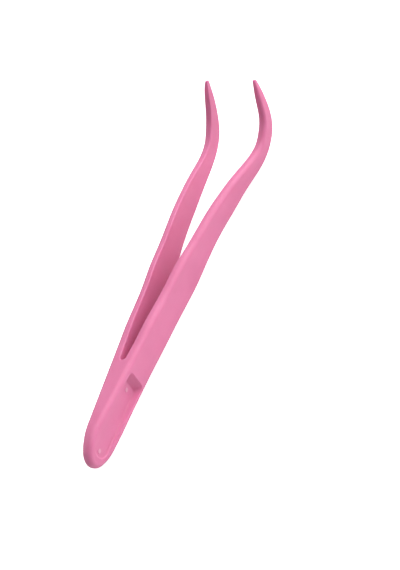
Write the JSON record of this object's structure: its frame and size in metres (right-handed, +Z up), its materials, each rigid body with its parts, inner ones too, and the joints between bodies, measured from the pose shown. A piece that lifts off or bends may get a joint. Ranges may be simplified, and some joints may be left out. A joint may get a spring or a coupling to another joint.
{
  "type": "curved tweezers",
  "caption": "One-piece moulded plastic tweezers: recessed root, springy tapering arms and hooked, finely pointed tips for picking up small parts.",
  "frame": {"origin": "under the middle of the overall box, on the surface the tweezers lie on", "axes": "+Y from the closed root to the tips, +X across the two arms, +Z up, with the hooked tips turned up"},
  "size_m": [0.019, 0.115, 0.0163],
  "materials": {
    "pink_plastic": "satin"
  },
  "bodies": {
    "root": {"tweezers": "pink_plastic"}
  },
  "joints": []
}
